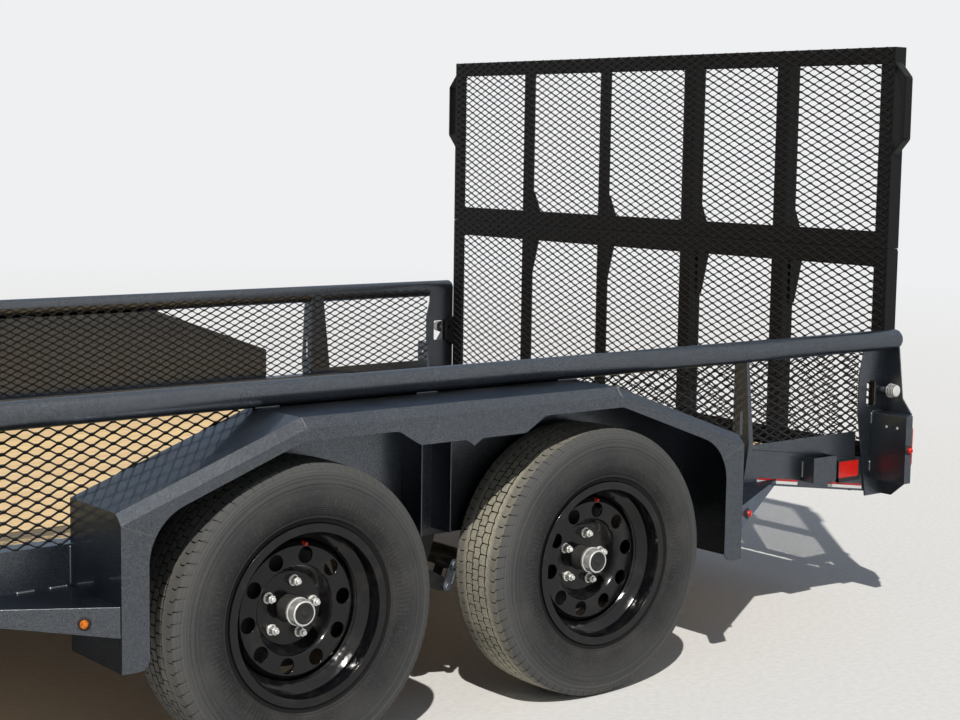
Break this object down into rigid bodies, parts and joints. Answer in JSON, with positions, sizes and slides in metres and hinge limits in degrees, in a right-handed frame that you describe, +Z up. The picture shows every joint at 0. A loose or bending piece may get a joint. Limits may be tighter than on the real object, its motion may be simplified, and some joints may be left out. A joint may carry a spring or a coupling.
{
  "type": "tandem-axle utility trailer",
  "caption": "Towed utility trailer with two axles, a wooden deck with a dovetail, mesh sides under pipe rails, a fold-down two-part rear gate and a screw jack.",
  "frame": {"origin": "on the ground, under the middle of the whole trailer with its gate upright", "axes": "+X forward towards the coupler, +Y to the trailer's left, +Z up"},
  "size_m": [6.2158, 2.591, 1.692],
  "materials": {
    "frame": "gloss charcoal powder coat with a fine metallic grain",
    "gate": "semi-gloss black powder coat",
    "mesh": "semi-gloss black over expanded metal",
    "deck": "bare treated pine",
    "tyre": "matt black with pale dust on the tread",
    "wheel": "gloss black",
    "hub": "dark cast iron with zinc nuts",
    "axle": "satin black",
    "zinc": "bright zinc plate",
    "amber": "clear amber lens",
    "red": "clear red lens"
  },
  "bodies": {
    "trailer": {"amber_marker_lamps": "amber", "axle_beams": "axle", "axle_clamps": "axle", "brake_backing_plates": "axle", "coupler": "frame", "deck_boards": "deck", "deck_cross_members": "frame", "dovetail_boards": "deck", "dovetail_side_plates": "frame", "end_channels": "frame", "equalizers": "axle", "fender_braces": "frame", "fender_centre_posts": "frame", "frame_side_members": "frame", "front_mesh": "mesh", "front_top_rail": "frame", "gate_latches": "zinc", "jack_body": "axle", "jack_crank": "axle", "lamp_boxes": "frame", "leaf_springs": "axle", "left_fender": "frame", "left_side_mesh": "mesh", "left_top_rail": "frame", "rear_posts": "frame", "red_marker_lamps": "red", "red_side_reflectors": "red", "right_fender": "frame", "right_side_mesh": "mesh", "right_top_rail": "frame", "spring_hangers": "axle", "stake_pockets": "frame", "tail_lamps": "red", "tongue_beams": "frame", "uprights": "frame"},
    "gate_lower": {"gate_lower_frame": "gate", "gate_lower_lugs": "gate", "gate_lower_mesh": "mesh"},
    "gate_upper": {"gate_handles": "gate", "gate_upper_frame": "gate", "gate_upper_lugs": "gate", "gate_upper_mesh": "mesh"},
    "jack_leg_body": {"jack_leg": "zinc"},
    "wheel_front_left_body": {"tyre_front_left": "tyre", "wheel_front_left": "wheel", "hub_front_left": "hub"},
    "wheel_front_right_body": {"tyre_front_right": "tyre", "wheel_front_right": "wheel", "hub_front_right": "hub"},
    "wheel_rear_left_body": {"tyre_rear_left": "tyre", "wheel_rear_left": "wheel", "hub_rear_left": "hub"},
    "wheel_rear_right_body": {"tyre_rear_right": "tyre", "wheel_rear_right": "wheel", "hub_rear_right": "hub"}
  },
  "joints": [
    {"name": "wheel_front_left_spin", "type": "hinge", "parent": "trailer", "child": "wheel_front_left_body", "pos_m": [-0.7991, 1.18175, 0.344], "axis": [0, 1, 0], "continuous": true},
    {"name": "wheel_front_right_spin", "type": "hinge", "parent": "trailer", "child": "wheel_front_right_body", "pos_m": [-0.7991, -1.18175, 0.344], "axis": [0, 1, 0], "continuous": true},
    {"name": "wheel_rear_left_spin", "type": "hinge", "parent": "trailer", "child": "wheel_rear_left_body", "pos_m": [-1.6821, 1.18175, 0.344], "axis": [0, 1, 0], "continuous": true},
    {"name": "wheel_rear_right_spin", "type": "hinge", "parent": "trailer", "child": "wheel_rear_right_body", "pos_m": [-1.6821, -1.18175, 0.344], "axis": [0, 1, 0], "continuous": true},
    {"name": "gate_pivot", "type": "hinge", "parent": "trailer", "child": "gate_lower", "pos_m": [-3.0385, 0, 0.46941], "axis": [0, -1, 0], "range_deg": [0, 111]},
    {"name": "gate_fold", "type": "hinge", "parent": "gate_lower", "child": "gate_upper", "pos_m": [-3.0939, 0, 1.08801], "axis": [0, -1, 0], "range_deg": [0, 180]},
    {"name": "jack_slide", "type": "slide", "parent": "trailer", "child": "jack_leg_body", "axis": [0, 0, 1], "range_m": [0, 0.254]}
  ]
}
